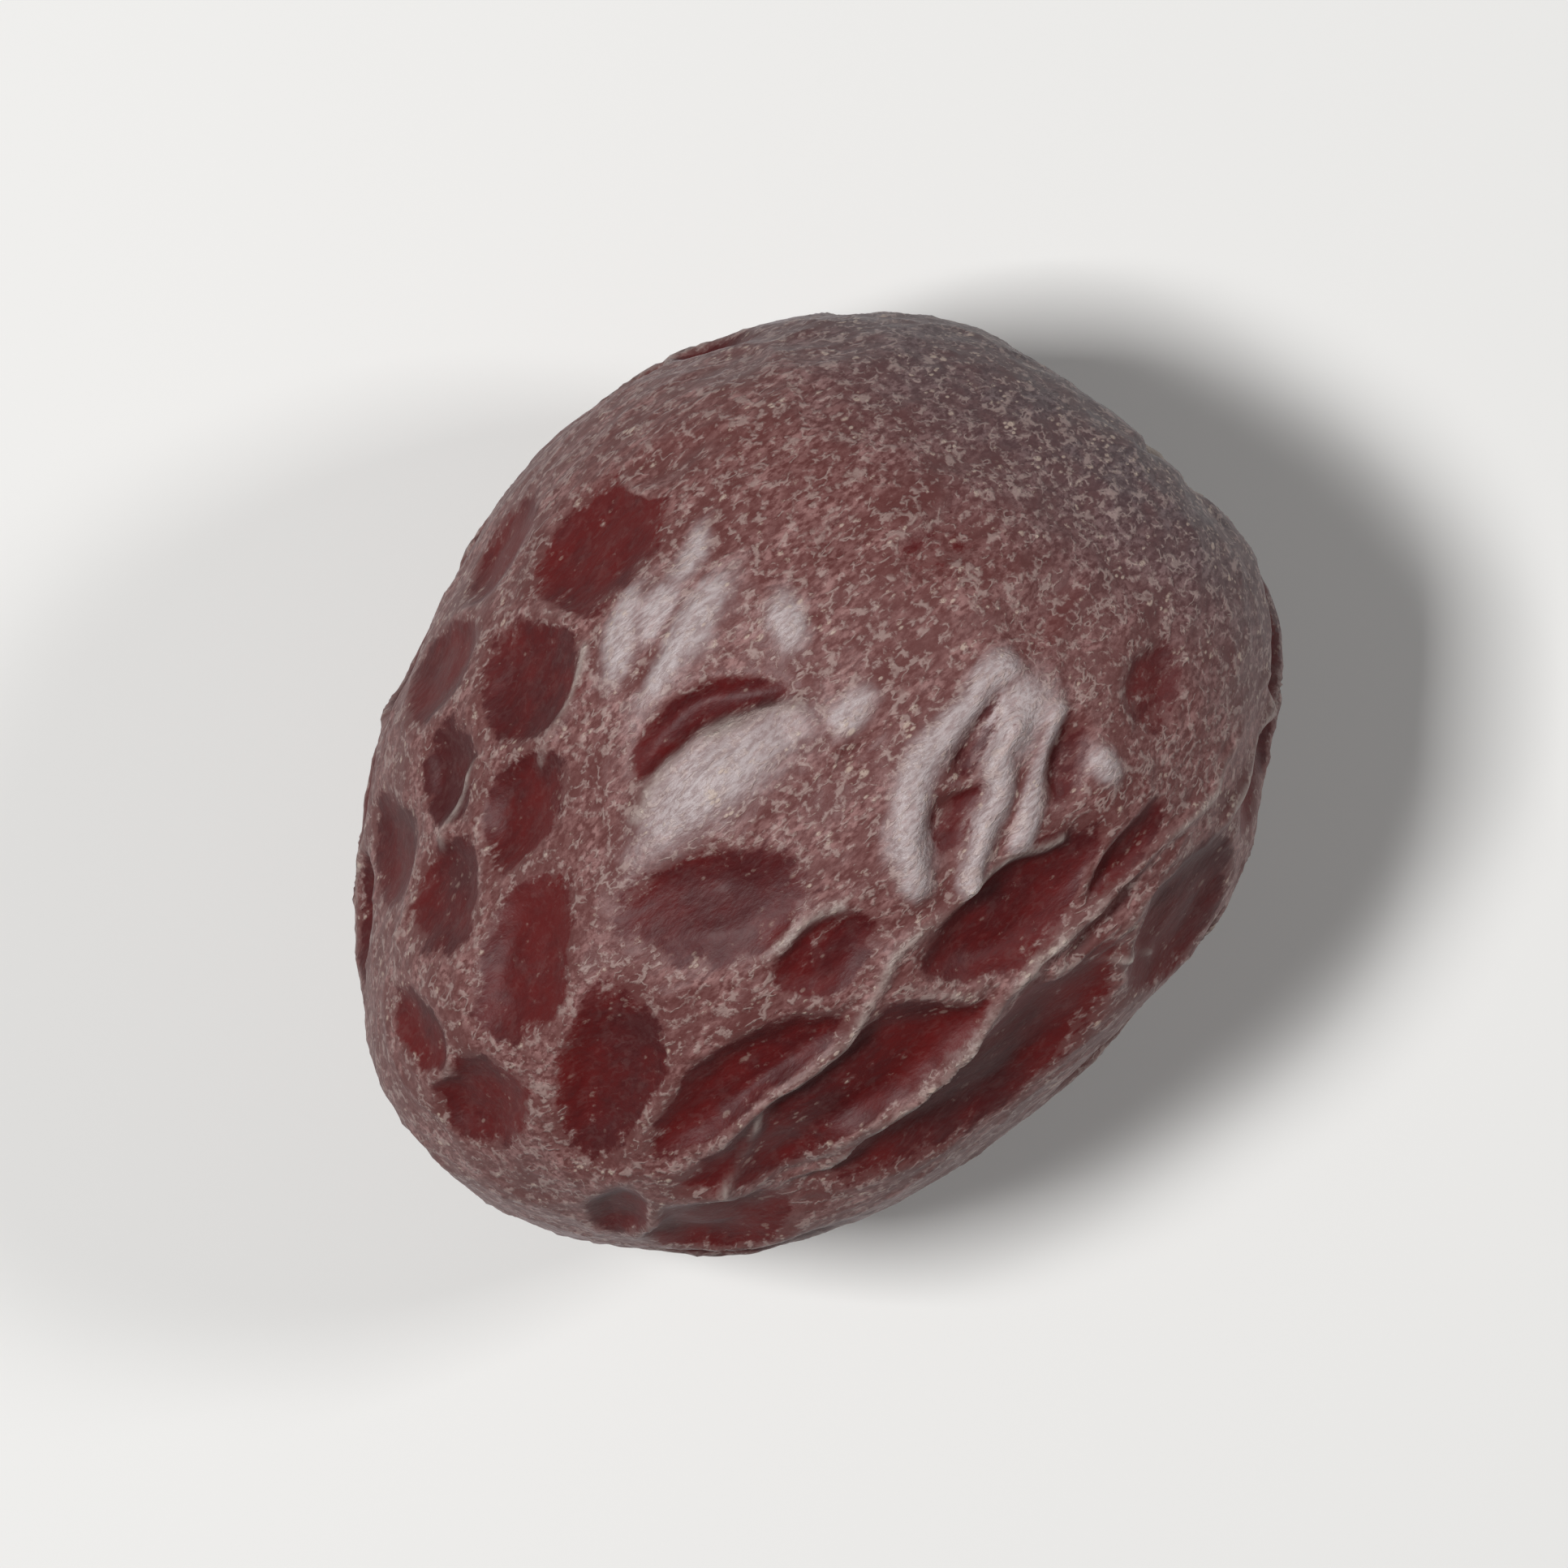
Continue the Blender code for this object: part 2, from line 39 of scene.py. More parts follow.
# Points of the outline from above, going round from the stem end, as x and y in millimetres
OUTLINE = (
    (14.8, 0.3),
    (14.0, 3.2),
    (12.2, 5.9),
    (9.8, 9.0),
    (6.1, 10.9),
    (2.2, 11.7),
    (-2.0, 10.8),
    (-6.2, 9.6),
    (-9.9, 7.4),
    (-12.3, 4.5),
    (-13.8, 1.7),
    (-15.2, -1.3),
    (-13.7, -4.2),
    (-12.2, -7.1),
    (-9.4, -9.5),
    (-5.6, -10.7),
    (-1.6, -11.3),
    (2.6, -11.6),
    (6.5, -10.5),
    (9.9, -8.8),
    (12.5, -6.4),
    (14.4, -3.5),
)
OUTLINE_STEPS = 720
OUTLINE_WAVES = 9  # the outline keeps this many waves a turn and drops finer ones
HALF_HEIGHT = 11.1 * MM
BARREL = 2.2  # 2 makes the sides a plain ellipse, and more makes them squarer

# Where the fruit lies: the underside is pressed flat by this much. The flat spot has three corners,
# given as x and y in millimetres, and the skin rises from each of its sides at this slope at least.
FLAT_DEPTH = 0.85 * MM
FOOT_CORNERS = ((5.6, -0.8), (-2.4, 2.8), (-2.4, -4.2))
FOOT_SLOPE = 11.0
SMOOTH_FOOT = (7.5 * MM, 9.5 * MM)  # the wrinkles fade in between these distances from the flat spot

# The stem end: a cavity with a ringed scar in it
STEM_SIDE = 0.6 * MM
STEM_LIFT = -0.4 * MM
CAVITY_RADIUS = 3.9 * MM
CAVITY_DEPTH = 1.7 * MM
RING_RADIUS = 2.0 * MM
RING_THICK = 0.28 * MM
RING_HEIGHT = 0.30 * MM
SCAR_DEPTH = 0.45 * MM
RING_RAGGED = 0.10  # how far the ring strays from a circle, as a share of its radius
RAGGED_WAVE = 1.95 * MM
SCAR_SLOPE = 2.5  # the scar's side is this many ring thicknesses wide
STUB = (0.50 * MM, 0.35 * MM, 0.45 * MM, 0.40 * MM)  # side, lift, radius and height
STEM_CREASES = 9
CREASE_DEPTH = 0.20 * MM
CREASE_SWAY = 0.5
CREASE_NARROWNESS = 6
CREASE_PLACE = 3.8 * MM  # how far the creases lie from the scar's middle
CREASE_REACH = 1.4 * MM

# The far end: a dimple with the dried tip of the style in it
TIP_SIDE = -0.6 * MM
TIP_LIFT = -1.8 * MM
DIMPLE_RADIUS = 2.1 * MM
DIMPLE_DEPTH = 0.65 * MM
STYLE_RADIUS = 0.45 * MM
STYLE_HEIGHT = 0.50 * MM
END_FADE = (0.2, 0.6)  # an end's form fades in between these shares of the half length

# Broad hollows where the flesh has shrunk: x and y from above or below, whether the spot is on the
# upper side (1) or the lower side (-1), radius and depth, in millimetres
BROAD_DENTS = (
    (-9.0, 6.2, 1, 5.5, 0.9),
    (-7.4, -9.0, 1, 1.9, 0.9),
    (-6.0, 5.6, 1, 3.0, 0.3),
    (1.0, -10.0, -1, 5.0, 0.7),
    (6.5, 8.0, -1, 4.5, 0.8),
    (-9.0, -3.0, -1, 4.0, 0.7),
    (11.2, 1.0, 1, 3.4, 0.35),
    (3.2, -7.6, 1, 3.6, 0.3),
)

# Sunken cells on the upper side: x and y of the middle, half length and half width as seen from
# above, turn of the length from the X axis in degrees, how far the ends bow to the side, and depth,
# sizes in millimetres
TOP_CELLS = (
    (-3.9, 7.2, 1.8, 1.4, 20, 0.0, 0.38),
    (-0.1, 8.5, 2.2, 1.25, 12, 0.0, 0.33),
    (-6.7, 4.5, 1.9, 1.15, 12, 0.0, 0.38),
    (-9.8, 4.2, 1.7, 0.95, 22, 0.0, 0.32),
    (-9.1, 1.1, 2.5, 1.2, 22, 0.0, 0.42),
    (-12.6, 1.3, 0.9, 0.9, 0, 0.0, 0.30),
    (-0.7, 3.15, 2.3, 0.62, -15, -0.6, 0.42),
    (-5.6, 9.1, 1.6, 0.7, 28, 0.0, 0.36),
    (-7.7, 6.9, 1.5, 0.7, 22, 0.0, 0.32),
    (-2.3, 10.2, 1.8, 0.5, 12, 0.0, 0.30),
    (-10.4, 6.2, 1.6, 0.7, 38, 0.0, 0.34),
    (5.3, 4.3, 1.0, 0.6, 0, 0.0, 0.17),
    (7.5, 2.4, 1.6, 0.8, 5, 0.0, 0.20),
    (9.2, 4.4, 1.1, 0.8, -20, 0.0, 0.10),
    (6.2, 9.8, 1.3, 0.5, -12, 0.0, 0.14),
    (3.2, 8.9, 1.3, 0.45, 0, 0.0, 0.12),
    (8.3, 8.6, 1.2, 0.5, -32, 0.0, 0.11),
    (-12.6, -1.2, 1.5, 1.1, 80, 0.0, 0.48),
    (-9.2, -3.05, 2.8, 1.25, 41, 0.0, 0.44),
    (-3.9, -1.2, 2.5, 1.45, -30, 0.0, 0.34),
    (-2.5, -4.2, 1.4, 0.95, -5, 0.0, 0.30),
    (-6.3, -5.5, 3.4, 1.1, 0, -0.6, 0.46),
    (-4.7, -7.8, 4.9, 1.35, 5, 0.0, 0.60),
    (-11.4, -6.2, 0.9, 0.7, -25, 0.0, 0.36),
    (-9.8, -8.3, 2.2, 0.8, -20, 0.0, 0.56),
    (-1.3, -9.8, 5.2, 1.05, 0, 0.0, 0.66),
    (2.1, -6.85, 3.4, 1.15, 3, 0.0, 0.56),
    (5.8, -7.5, 1.6, 0.55, 4, 0.0, 0.30),
    (4.0, -8.6, 1.8, 0.3, 2, 0.0, 0.20),
    (5.8, -9.9, 2.5, 0.75, 6, 0.0, 0.46),
    (2.7, -3.7, 1.3, 0.65, 12, 0.0, 0.26),
    (4.7, -2.3, 1.5, 0.5, 24, 0.0, 0.26),
    (5.9, -4.5, 1.3, 0.65, 30, 0.0, 0.26),
    (9.4, -4.5, 1.4, 0.75, 8, 0.0, 0.24),
    (8.3, -0.7, 1.3, 0.7, 0, 0.0, 0.18),
    (1.8, -0.8, 0.8, 0.45, 0, 0.0, 0.14),
)

# Raised folds on the upper side, in the same terms, with their height last. The material paints them
# whitish as a highlight.
TOP_FOLDS = (
    (-1.6, 1.6, 3.2, 1.1, -2, -0.5, 0.38),
    (2.7, 3.4, 0.9, 0.5, 62, 0.0, 0.24),
    (-0.9, 6.1, 1.6, 0.42, 28, 0.0, 0.18),
    (0.2, 5.9, 0.9, 0.45, 20, 0.0, 0.16),
    (0.9, 5.0, 1.6, 0.55, 24, 0.0, 0.18),
    (1.8, 6.6, 1.2, 0.38, 28, 0.0, 0.10),
    (-0.6, 4.7, 1.6, 0.40, 14, 0.0, 0.12),
    (2.4, 0.3, 0.8, 0.5, 10, 0.0, 0.14),
    (1.3, -3.6, 1.2, 0.6, 50, 0.0, 0.12),
    (5.8, -2.6, 1.4, 0.9, 18, 0.0, 0.26),
    (6.7, -5.2, 0.6, 0.5, 0, 0.0, 0.24),
)

# Crests on the upper side, each as its height, how far it reaches to the sides, and then points
# seen from above, in millimetres
TOP_CRESTS = (
    (0.22, 0.22, (-8.8, -7.7), (-6.5, -6.7), (-3.8, -6.8), (-1.2, -5.5), (2.0, -5.5), (4.5, -5.9)),
    (0.34, 0.20, (-7.6, -8.8), (-6.1, -9.15), (-2.2, -8.8), (0.0, -8.4), (2.0, -8.1), (6.0, -8.0)),
    (0.18, 0.20, (6.0, -8.0), (7.5, -7.8), (9.0, -7.5), (12.0, -6.4)),
    (0.14, 0.20, (2.2, -8.7), (3.2, -9.3), (4.1, -9.9), (4.6, -10.4)),
    (0.18, 0.20, (3.2, -9.3), (5.2, -8.9), (9.0, -8.4), (11.5, -7.2), (12.9, -5.6)),
    (0.18, 0.20, (-11.5, 4.0), (-9.2, 5.5), (-7.0, 6.5)),
    (0.16, 0.20, (-5.4, 5.2), (-3.5, 5.7), (-1.9, 6.5)),
    (0.14, 0.20, (-3.8, -3.1), (-2.5, -3.2), (-1.3, -3.6)),
    (0.16, 0.30, (-4.0, 2.1), (-3.1, 2.5), (-2.0, 2.65), (-0.4, 2.5), (0.5, 2.0), (1.4, 1.4)),
)

# Rounded pale ridges on the upper side, in the same terms. The material paints them whitish as a
# highlight.
TOP_RIDGES = (
    (0.34, 0.50, (0.7, -4.4), (1.3, -3.5), (2.2, -2.6), (3.2, -1.9), (4.5, -1.4), (6.5, -1.2)),
    (0.36, 0.44, (1.9, -5.3), (2.7, -4.8), (3.3, -4.3), (3.9, -4.0), (4.5, -3.0), (5.2, -2.7)),
    (0.28, 0.34, (3.7, -5.4), (4.3, -4.8), (5.0, -4.2), (5.9, -3.7), (6.6, -3.2)),
)

# Cells everywhere else, spread evenly and then drawn within these limits, in millimetres and degrees
SEED = 21
SPREAD_CELLS = 130
CELL_JITTER = 1.1
HALF_LENGTHS = (2.2, 4.2)
HALF_WIDTHS = (1.05, 1.75)
TURN_SPREAD = 20.0
DEPTHS = (0.34, 0.72)
TOP_EDGE = 0.12  # a surface facing up by more than this share belongs to the drawn cells
CLEAR_OF_ENDS = 4.6 * MM

# The form of a cell's edge
CREST_SHARPNESS = 0.34  # how far two floors keep from each other, in shares of a cell's half size
LIP_HEIGHT = 0.07 * MM
LIP_WIDTH = 0.20
RIM = (0.42, 1.25)  # the floor rises to the skin between these shares of a cell's half sizes
MOST_BOW = 2.0  # the bow of an oval stops growing at this share
STEEPEST = 0.42  # how far a half width seen from above is stretched on a slope, as the least cosine
WANDERS = ((2.6 * MM, 0.35 * MM), (0.9 * MM, 0.12 * MM))  # wave and reach of the crooked outlines
SWELLS = ((6.0 * MM, 0.30 * MM), (2.2 * MM, 0.09 * MM))  # wave and height of the uneven body

# Small lengthwise wrinkles all over the skin, as wave, stretch and height
RIPPLES = (
    (1.8 * MM, 2.2, 0.08 * MM),
    (0.8 * MM, 1.8, 0.042 * MM),
    (0.42 * MM, 1.4, 0.022 * MM),
)
RIPPLE_NARROWNESS = 0.15
FLOOR_CALM = 0.65  # how much of the small wrinkles a clean floor loses
RIDGE_CALM = 0.55  # and how much a fold or a ridge loses

# The mesh: a cube with this many squares along an edge, blown up into a ball. 128 gives 196,608
# triangles.
SQUARES = 128

# Where the clean red floors and the pale lines show
RED_EDGE = (0.68, 1.48)  # the red ends between these shares of a cell's half sizes
RED_DEPTHS = (0.08 * MM, 0.36 * MM)  # shallower cells stay dusty, and deeper ones are all red
RED_GAP = 0.22
LIP_LINE = 0.07
CELL_LINE = 0.85  # how strong the pale line between two cells is beside that of a crest
CREST_LINE = 3  # the pale line keeps to the very top of a crest
GREY_CAP = (7.5 * MM, 14.0 * MM)  # the stem end turns grey between these places along X
CAP_LEAN = 0.30

# The skin's noises, each as how far it is squeezed along X (less than 1 draws it out), its size,
# its detail and its roughness
NOISES = {
    "broad": (1.0, 3.5 * MM, 2.0, 0.55),
    "patches": (0.5, 1.1 * MM, 5.0, 0.62),
    "torn": (0.5, 0.42 * MM, 4.0, 0.65),
    "grain": (0.5, 0.15 * MM, 3.0, 0.60),
    "fibres": (0.3, 0.12 * MM, 3.0, 0.60),
    "breaks": (1.0, 0.33 * MM, 3.0, 0.55),
    "crowds": (1.0, 1.0 * MM, 5.0, 0.75),
}
DRAWN_OUT = 0.5  # how far the wisps and flecks are squeezed along X

# What adds up to each share of the skin, and between which sums the share goes from 0 to 1
CLEAN = ({"red": 1.0, "patches": 1.3, "torn": 1.5, "grain": 0.6}, (2.06, 2.42))
MOTTLES = ({"broad": 0.6, "torn": 0.4}, (0.35, 0.65))
# The share on the folds and ridges is a painted highlight, whitish over the pale bloom
PALE_HIGHLIGHT = ({"pale": 1.0, "patches": 0.6, "torn": 0.5}, (0.62, 1.42))
FELT = ({"fibres": 1.0}, (0.36, 0.62))
GREY_PATCHES = ({"patches": 1.0}, (0.25, 0.60))
BLOOM_PATCHES = ({"patches": 1.0}, (0.30, 0.66))
BLOOM_GRAIN = ({"grain": 1.0}, (0.36, 0.62))
BLOOM_TEARS = ({"torn": 1.0}, (0.38, 0.60))
WISP_BREAKS = ({"breaks": 1.0}, (0.46, 0.60))
FLECK_CROWDS = ({"crowds": 1.0, "line": 0.12, "grey": 0.048}, (0.53, 0.63))
LINE_GRAIN = ({"grain": 1.0}, (0.15, 0.55))

# Distances between wisps and between flecks, each with the width or the radius as a share of it
WISPS = ((0.75 * MM, 0.05), (0.34 * MM, 0.06))
WISP_DETAIL = (2.5, 0.5)
FLECKS = ((0.22 * MM, 0.30), (0.40 * MM, 0.28))

# How thick the bloom lies, how strong the painted highlight on the folds and ridges is, and how
# strong the pale marks are
BLOOM_LEAST = 0.09
BLOOM_MORE = 0.58
BLOOM_UNTORN = 0.45
BLOOM_ON_GREY = 0.10
FLOOR_LOSS = 0.93  # how much of the bloom and of the wisps a clean floor has lost
PALE_HIGHLIGHT_LEAST = 0.52
PALE_HIGHLIGHT_MORE = 0.40
WISP_STRENGTH = 0.46
FLECK_STRENGTH = 0.62
FLECKS_ON_FLOORS = 0.30
LINE_STRENGTH = 0.72
RING_STRENGTH = 0.80

# Colours of the floors, of the skin below the bloom, and of what lies on it, with the whitish
# painted highlight of the folds and ridges
FLOOR_BRIGHT = (0.098, 0.0030, 0.0030, 1)
FLOOR_DARK = (0.052, 0.0030, 0.0040, 1)
SKIN_RED = (0.090, 0.020, 0.018, 1)
SKIN_GREY = (0.040, 0.020, 0.025, 1)
BLOOM_PINK = (0.310, 0.165, 0.155, 1)
BLOOM_GREY = (0.160, 0.122, 0.126, 1)
# A painted highlight for the folds and ridges, whitish over the pale bloom
PALE_HIGHLIGHT_COLOUR = (0.44, 0.375, 0.375, 1)
WISP_COLOUR = (0.43, 0.33, 0.30, 1)
FLECK_COLOUR = (0.52, 0.41, 0.34, 1)
LINE_COLOUR = (0.40, 0.34, 0.31, 1)
SCAR_COLOUR = (0.085, 0.065, 0.055, 1)
RING_COLOUR = (0.36, 0.30, 0.25, 1)
STUB_COLOUR = (0.42, 0.22, 0.08, 1)
STYLE_COLOUR = (0.16, 0.09, 0.05, 1)

# Gloss, and the height of what is too fine for the mesh
SKIN_ROUGHNESS = 0.50
FLOOR_ROUGHER = 0.04
PALE_SMOOTHER = 0.08
FINE_HEIGHTS = {
    "grain": 0.020 * MM,
    "wisps": 0.015 * MM,
    "flecks": 0.015 * MM,
    "furrows": 0.050 * MM,
}
SPECULAR = 0.30
SHEEN = (0.08, 0.20, (0.80, 0.74, 0.80, 1))  # weight, roughness and tint

GROUND_HALF = 1.5
GROUND_COLOUR = (0.78, 0.775, 0.76, 1)
GROUND_ROUGHNESS = 0.7

# The camera looks straight down, turned so that the stem end points to the upper right
CAMERA_TURN = -40.0
CAMERA_HEIGHT = 0.40
FRAME_WIDTH = 0.044
SENSOR = 36.0

# Lights as turn round the fruit and tilt from straight up, in degrees, then distance and size in
# metres, and power in watts. Turn 0 lies to the right of the picture.
LIGHTS = {
    "top": (180.0, 24.0, 0.36, 0.08, 1.20),
    "side": (14.0, 45.0, 0.34, 0.06, 0.34),
}
SURROUND = 0.06


def unit(vectors):
    """The rows of an array, each made one long."""
    return vectors / np.linalg.norm(vectors, axis=-1, keepdims=True)


def smooth_step(low, high, values):
    """0 below low and 1 above high, with a smooth rise between."""
    share = np.clip((values - low) / (high - low), 0, 1)
    return share * share * (3 - 2 * share)


def smooth_noise(points):
    """Smooth noise at every point, from about -1 to 1."""
    return np.array([noise.noise(Vector(p)) for p in points])


def outline_radius(angles):
    """The outline's distance from the middle at angles seen from above."""
    x, y = np.array(OUTLINE).T * MM
    around = np.linspace(0, 2 * math.pi, OUTLINE_STEPS, endpoint=False)
    radii = np.interp(around, np.arctan2(y, x), np.hypot(x, y), period=2 * math.pi)
    waves = np.fft.rfft(radii)
    waves[OUTLINE_WAVES + 1:] = 0
    smoothed = np.fft.irfft(waves, OUTLINE_STEPS)
    return np.interp(angles, around, smoothed, period=2 * math.pi)


def body_points(directions):
    """Where lines from the middle leave the plain rounded body."""
    x, y, z = directions.T
    radius = outline_radius(np.arctan2(y, x))
    filled = (np.hypot(x, y) / radius) ** BARREL + (np.abs(z) / HALF_HEIGHT) ** BARREL
    return directions * (filled ** (-1 / BARREL))[:, None]


def body_normals(points):
    """The outward directions of the plain body at points on it."""
    x, y, z = points.T
    angles = np.arctan2(y, x)
    from_axis = np.maximum(np.hypot(x, y), 1e-9)
    radius = outline_radius(angles)
    step = 2 * math.pi / OUTLINE_STEPS
    growth = (outline_radius(angles + step) - outline_radius(angles - step)) / (2 * step)
    outward = (from_axis / radius) ** (BARREL - 1) / radius
    sideways = -outward * growth / radius
    upward = np.sign(z) * (np.abs(z) / HALF_HEIGHT) ** (BARREL - 1) / HALF_HEIGHT
    slope_x = outward * np.cos(angles) - sideways * np.sin(angles)
    slope_y = outward * np.sin(angles) + sideways * np.cos(angles)
    return unit(np.stack((slope_x, slope_y, upward), axis=1))


def on_body(x, y, side):
    """The point of the plain body at x and y, on its upper side (1) or lower side (-1)."""
    radius = outline_radius(math.atan2(y, x))
    filled = min(math.hypot(x, y) / radius, 1.0) ** BARREL
    height = HALF_HEIGHT * (1 - filled) ** (1 / BARREL)
    return body_points(unit(np.array([[x, y, side * height]])))[0]


def spot(middle, half_length, half_width, turn, bow, size):
    """An oval on the body: its middle, the axes of its length, width and depth, and its sizes."""
    normal = body_normals(middle[None])[0]
    sideways = unit(np.cross(normal, (1, 0, 0)))
    lengthways = np.cross(sideways, normal)
    angle = math.radians(turn)
    length_axis = lengthways * math.cos(angle) + sideways * math.sin(angle)
    width_axis = np.cross(normal, length_axis)
    axes = np.stack((length_axis, width_axis, normal))
    return middle, axes, (half_length, half_width, half_length), bow, size


def drawn_spots(rows):
    """The ovals of a table whose places and half widths are as seen from above."""
    spots = []
    for x, y, half_length, half_width, turn, bow, size in rows:
        middle = on_body(x * MM, y * MM, 1)
        slope = max(body_normals(middle[None])[0][2], STEEPEST)
        half_sizes = half_length * MM, half_width * MM / slope
        spots.append(spot(middle, *half_sizes, turn, bow * MM, size * MM))
    return spots


def scattered_cells():
    """Seeded cells over the sides, the ends and the underside, clear of both ends."""
    draw = random.Random(SEED)
    golden_angle = math.pi * (3 - math.sqrt(5))
    spots = []
    for i in range(SPREAD_CELLS):
        along = 1 - 2 * (i + 0.5) / SPREAD_CELLS
        around = i * golden_angle
        ring = math.sqrt(1 - along * along)
        direction = np.array([[along, ring * math.cos(around), ring * math.sin(around)]])
        jitter = np.array([draw.gauss(0, 1) for _ in range(3)]) * CELL_JITTER * MM
        middle = body_points(unit(body_points(direction) + jitter))[0]
        half_length = draw.uniform(*HALF_LENGTHS) * MM
        half_width = draw.uniform(*HALF_WIDTHS) * MM
        turn = draw.gauss(0, TURN_SPREAD)
        depth = draw.uniform(*DEPTHS) * MM
        from_axis = math.hypot(middle[1], middle[2])
        if body_normals(middle[None])[0][2] > TOP_EDGE or from_axis < CLEAR_OF_ENDS:
            continue
        spots.append(spot(middle, half_length, half_width, turn, 0, depth))
    return spots


def oval_distance(points, middle, axes, half_sizes, bow):
    """How far points are from an oval's middle, where 1 is its edge."""
    places = (points - middle) @ axes.T
    places[:, 1] -= bow * np.minimum((places[:, 0] / half_sizes[0]) ** 2, MOST_BOW)
    return np.linalg.norm(places / half_sizes, axis=1)


def wandered(points):
    """The points moved a little by smooth noise, which makes straight outlines crooked."""
    noise.seed_set(SEED)  # without this the noise takes its seed from the clock
    moved = points.copy()
    for wave, reach in WANDERS:
        moved += reach * np.array([noise.noise_vector(Vector(p) / wave) for p in points])
    return moved


def cell_relief(points, cells):
    """The cells' height, their clean red share and the pale line where two cells meet."""
    nearest = np.full(len(points), np.inf)
    second = np.full(len(points), np.inf)
    depth = np.zeros(len(points))
    for middle, axes, half_sizes, bow, cell_depth in cells:
        distance = oval_distance(points, middle, axes, half_sizes, bow)
        closer = distance < nearest
        second = np.where(closer, nearest, np.minimum(second, distance))
        nearest = np.where(closer, distance, nearest)
        depth = np.where(closer, cell_depth, depth)
    gap = second - nearest
    inside = 1 - smooth_step(*RIM, nearest)
    floor = inside * (1 - np.exp(-((gap / CREST_SHARPNESS) ** 2)))
    lip = inside * np.exp(-((gap / LIP_WIDTH) ** 2))
    red = (1 - smooth_step(*RED_EDGE, nearest)) * (1 - np.exp(-((gap / RED_GAP) ** 2)))
    red *= smooth_step(*RED_DEPTHS, depth)
    line = inside * np.exp(-((gap / LIP_LINE) ** 2))
    return LIP_HEIGHT * lip - depth * floor, red, line


def fold_relief(points, folds):
    """The height of the raised folds and how far a point is up on one."""
    height = np.zeros(len(points))
    share = np.zeros(len(points))
    for middle, axes, half_sizes, bow, fold_height in folds:
        distance = oval_distance(points, middle, axes, half_sizes, bow)
        rise = np.exp(-distance * distance)
        height += fold_height * rise
        share = np.maximum(share, rise)
    return height, share


def crest_relief(points, crests):
    """The height of crests that run along lines on the body, and how far a point is up on one."""
    height = np.zeros(len(points))
    share = np.zeros(len(points))
    for crest_height, reach, *corners in crests:
        line = [on_body(x * MM, y * MM, 1) for x, y in corners]
        distance = np.full(len(points), np.inf)
        for start, end in zip(line, line[1:]):
            along = end - start
            part = np.clip((points - start) @ along / (along @ along), 0, 1)
            to_line = points - start - part[:, None] * along
            distance = np.minimum(distance, np.linalg.norm(to_line, axis=1))
        rise = np.exp(-((distance / (reach * MM)) ** 2))
        height = np.maximum(height, crest_height * MM * rise)
        share = np.maximum(share, rise)
    return height, share


def ripple_relief(points):
    """The height of the small lengthwise wrinkles, whose tops are narrow and hollows wide."""
    height = np.zeros(len(points))
    for wave, stretch, ripple_height in RIPPLES:
        waves = smooth_noise(points / (stretch, 1, 1) / wave)
        height += ripple_height * np.exp(-np.abs(waves) / RIPPLE_NARROWNESS)
    return height


def broad_relief(points):
    """The height of the broad hollows and of the uneven swells."""
    height = np.zeros(len(points))
    for x, y, side, radius, depth in BROAD_DENTS:
        middle = on_body(x * MM, y * MM, side)
        distance = np.linalg.norm(points - middle, axis=1) / (radius * MM)
        height -= depth * MM * np.exp(-distance * distance)
    for wave, swell in SWELLS:
        height += swell * smooth_noise(points / wave)
    return height


def stem_end(points):
    """How far the stem end's form moves points along X, and where its ring and scar show."""
    side = points[:, 1] - STEM_SIDE
    lift = points[:, 2] - STEM_LIFT
    from_axis = np.hypot(side, lift)
    uneven = np.array([noise.noise(Vector((0, *p)) / RAGGED_WAVE) for p in points[:, 1:]])
    ragged = from_axis * (1 + RING_RAGGED * uneven)
    cavity = -CAVITY_DEPTH * np.exp(-((from_axis / CAVITY_RADIUS) ** 2))
    ring = np.exp(-(((ragged - RING_RADIUS) / RING_THICK) ** 2))
    scar = 1 - smooth_step(RING_RADIUS - SCAR_SLOPE * RING_THICK, RING_RADIUS, ragged)
    stub_side, stub_lift, stub_radius, stub_height = STUB
    from_stub = np.hypot(side - stub_side, lift - stub_lift)
    stub = np.exp(-((from_stub / stub_radius) ** 2))
    turn = np.arctan2(lift, side) + CREASE_SWAY * uneven
    folds = np.abs(np.cos(turn * STEM_CREASES / 2)) ** CREASE_NARROWNESS
    reach = np.exp(-(((from_axis - CREASE_PLACE) / CREASE_REACH) ** 2))
    moved = cavity + RING_HEIGHT * ring - SCAR_DEPTH * scar + stub_height * stub
    moved -= CREASE_DEPTH * folds * reach
    return moved, {"ring": ring, "scar": scar, "stub": stub}


def tip_end(points):
    """How far the far end's form moves points along X, and where the style's tip shows."""
    from_axis = np.hypot(points[:, 1] - TIP_SIDE, points[:, 2] - TIP_LIFT)
    dimple = DIMPLE_DEPTH * np.exp(-((from_axis / DIMPLE_RADIUS) ** 2))
    style = np.exp(-((from_axis / STYLE_RADIUS) ** 2))
    return dimple - STYLE_HEIGHT * style, style


def press_foot(points):
    """Lifts points up to the flat spot and to the three facets that rise from its sides."""
    corners = np.array(FOOT_CORNERS) * MM
    for start, end in zip(corners, np.roll(corners, -1, axis=0)):
        outward = unit(np.array((end[1] - start[1], start[0] - end[0])))
        beyond = (points[:, :2] - start) @ outward
        points[:, 2] = np.maximum(points[:, 2], beyond * math.tan(math.radians(FOOT_SLOPE)))
    points[:, 2] = np.maximum(points[:, 2], 0)


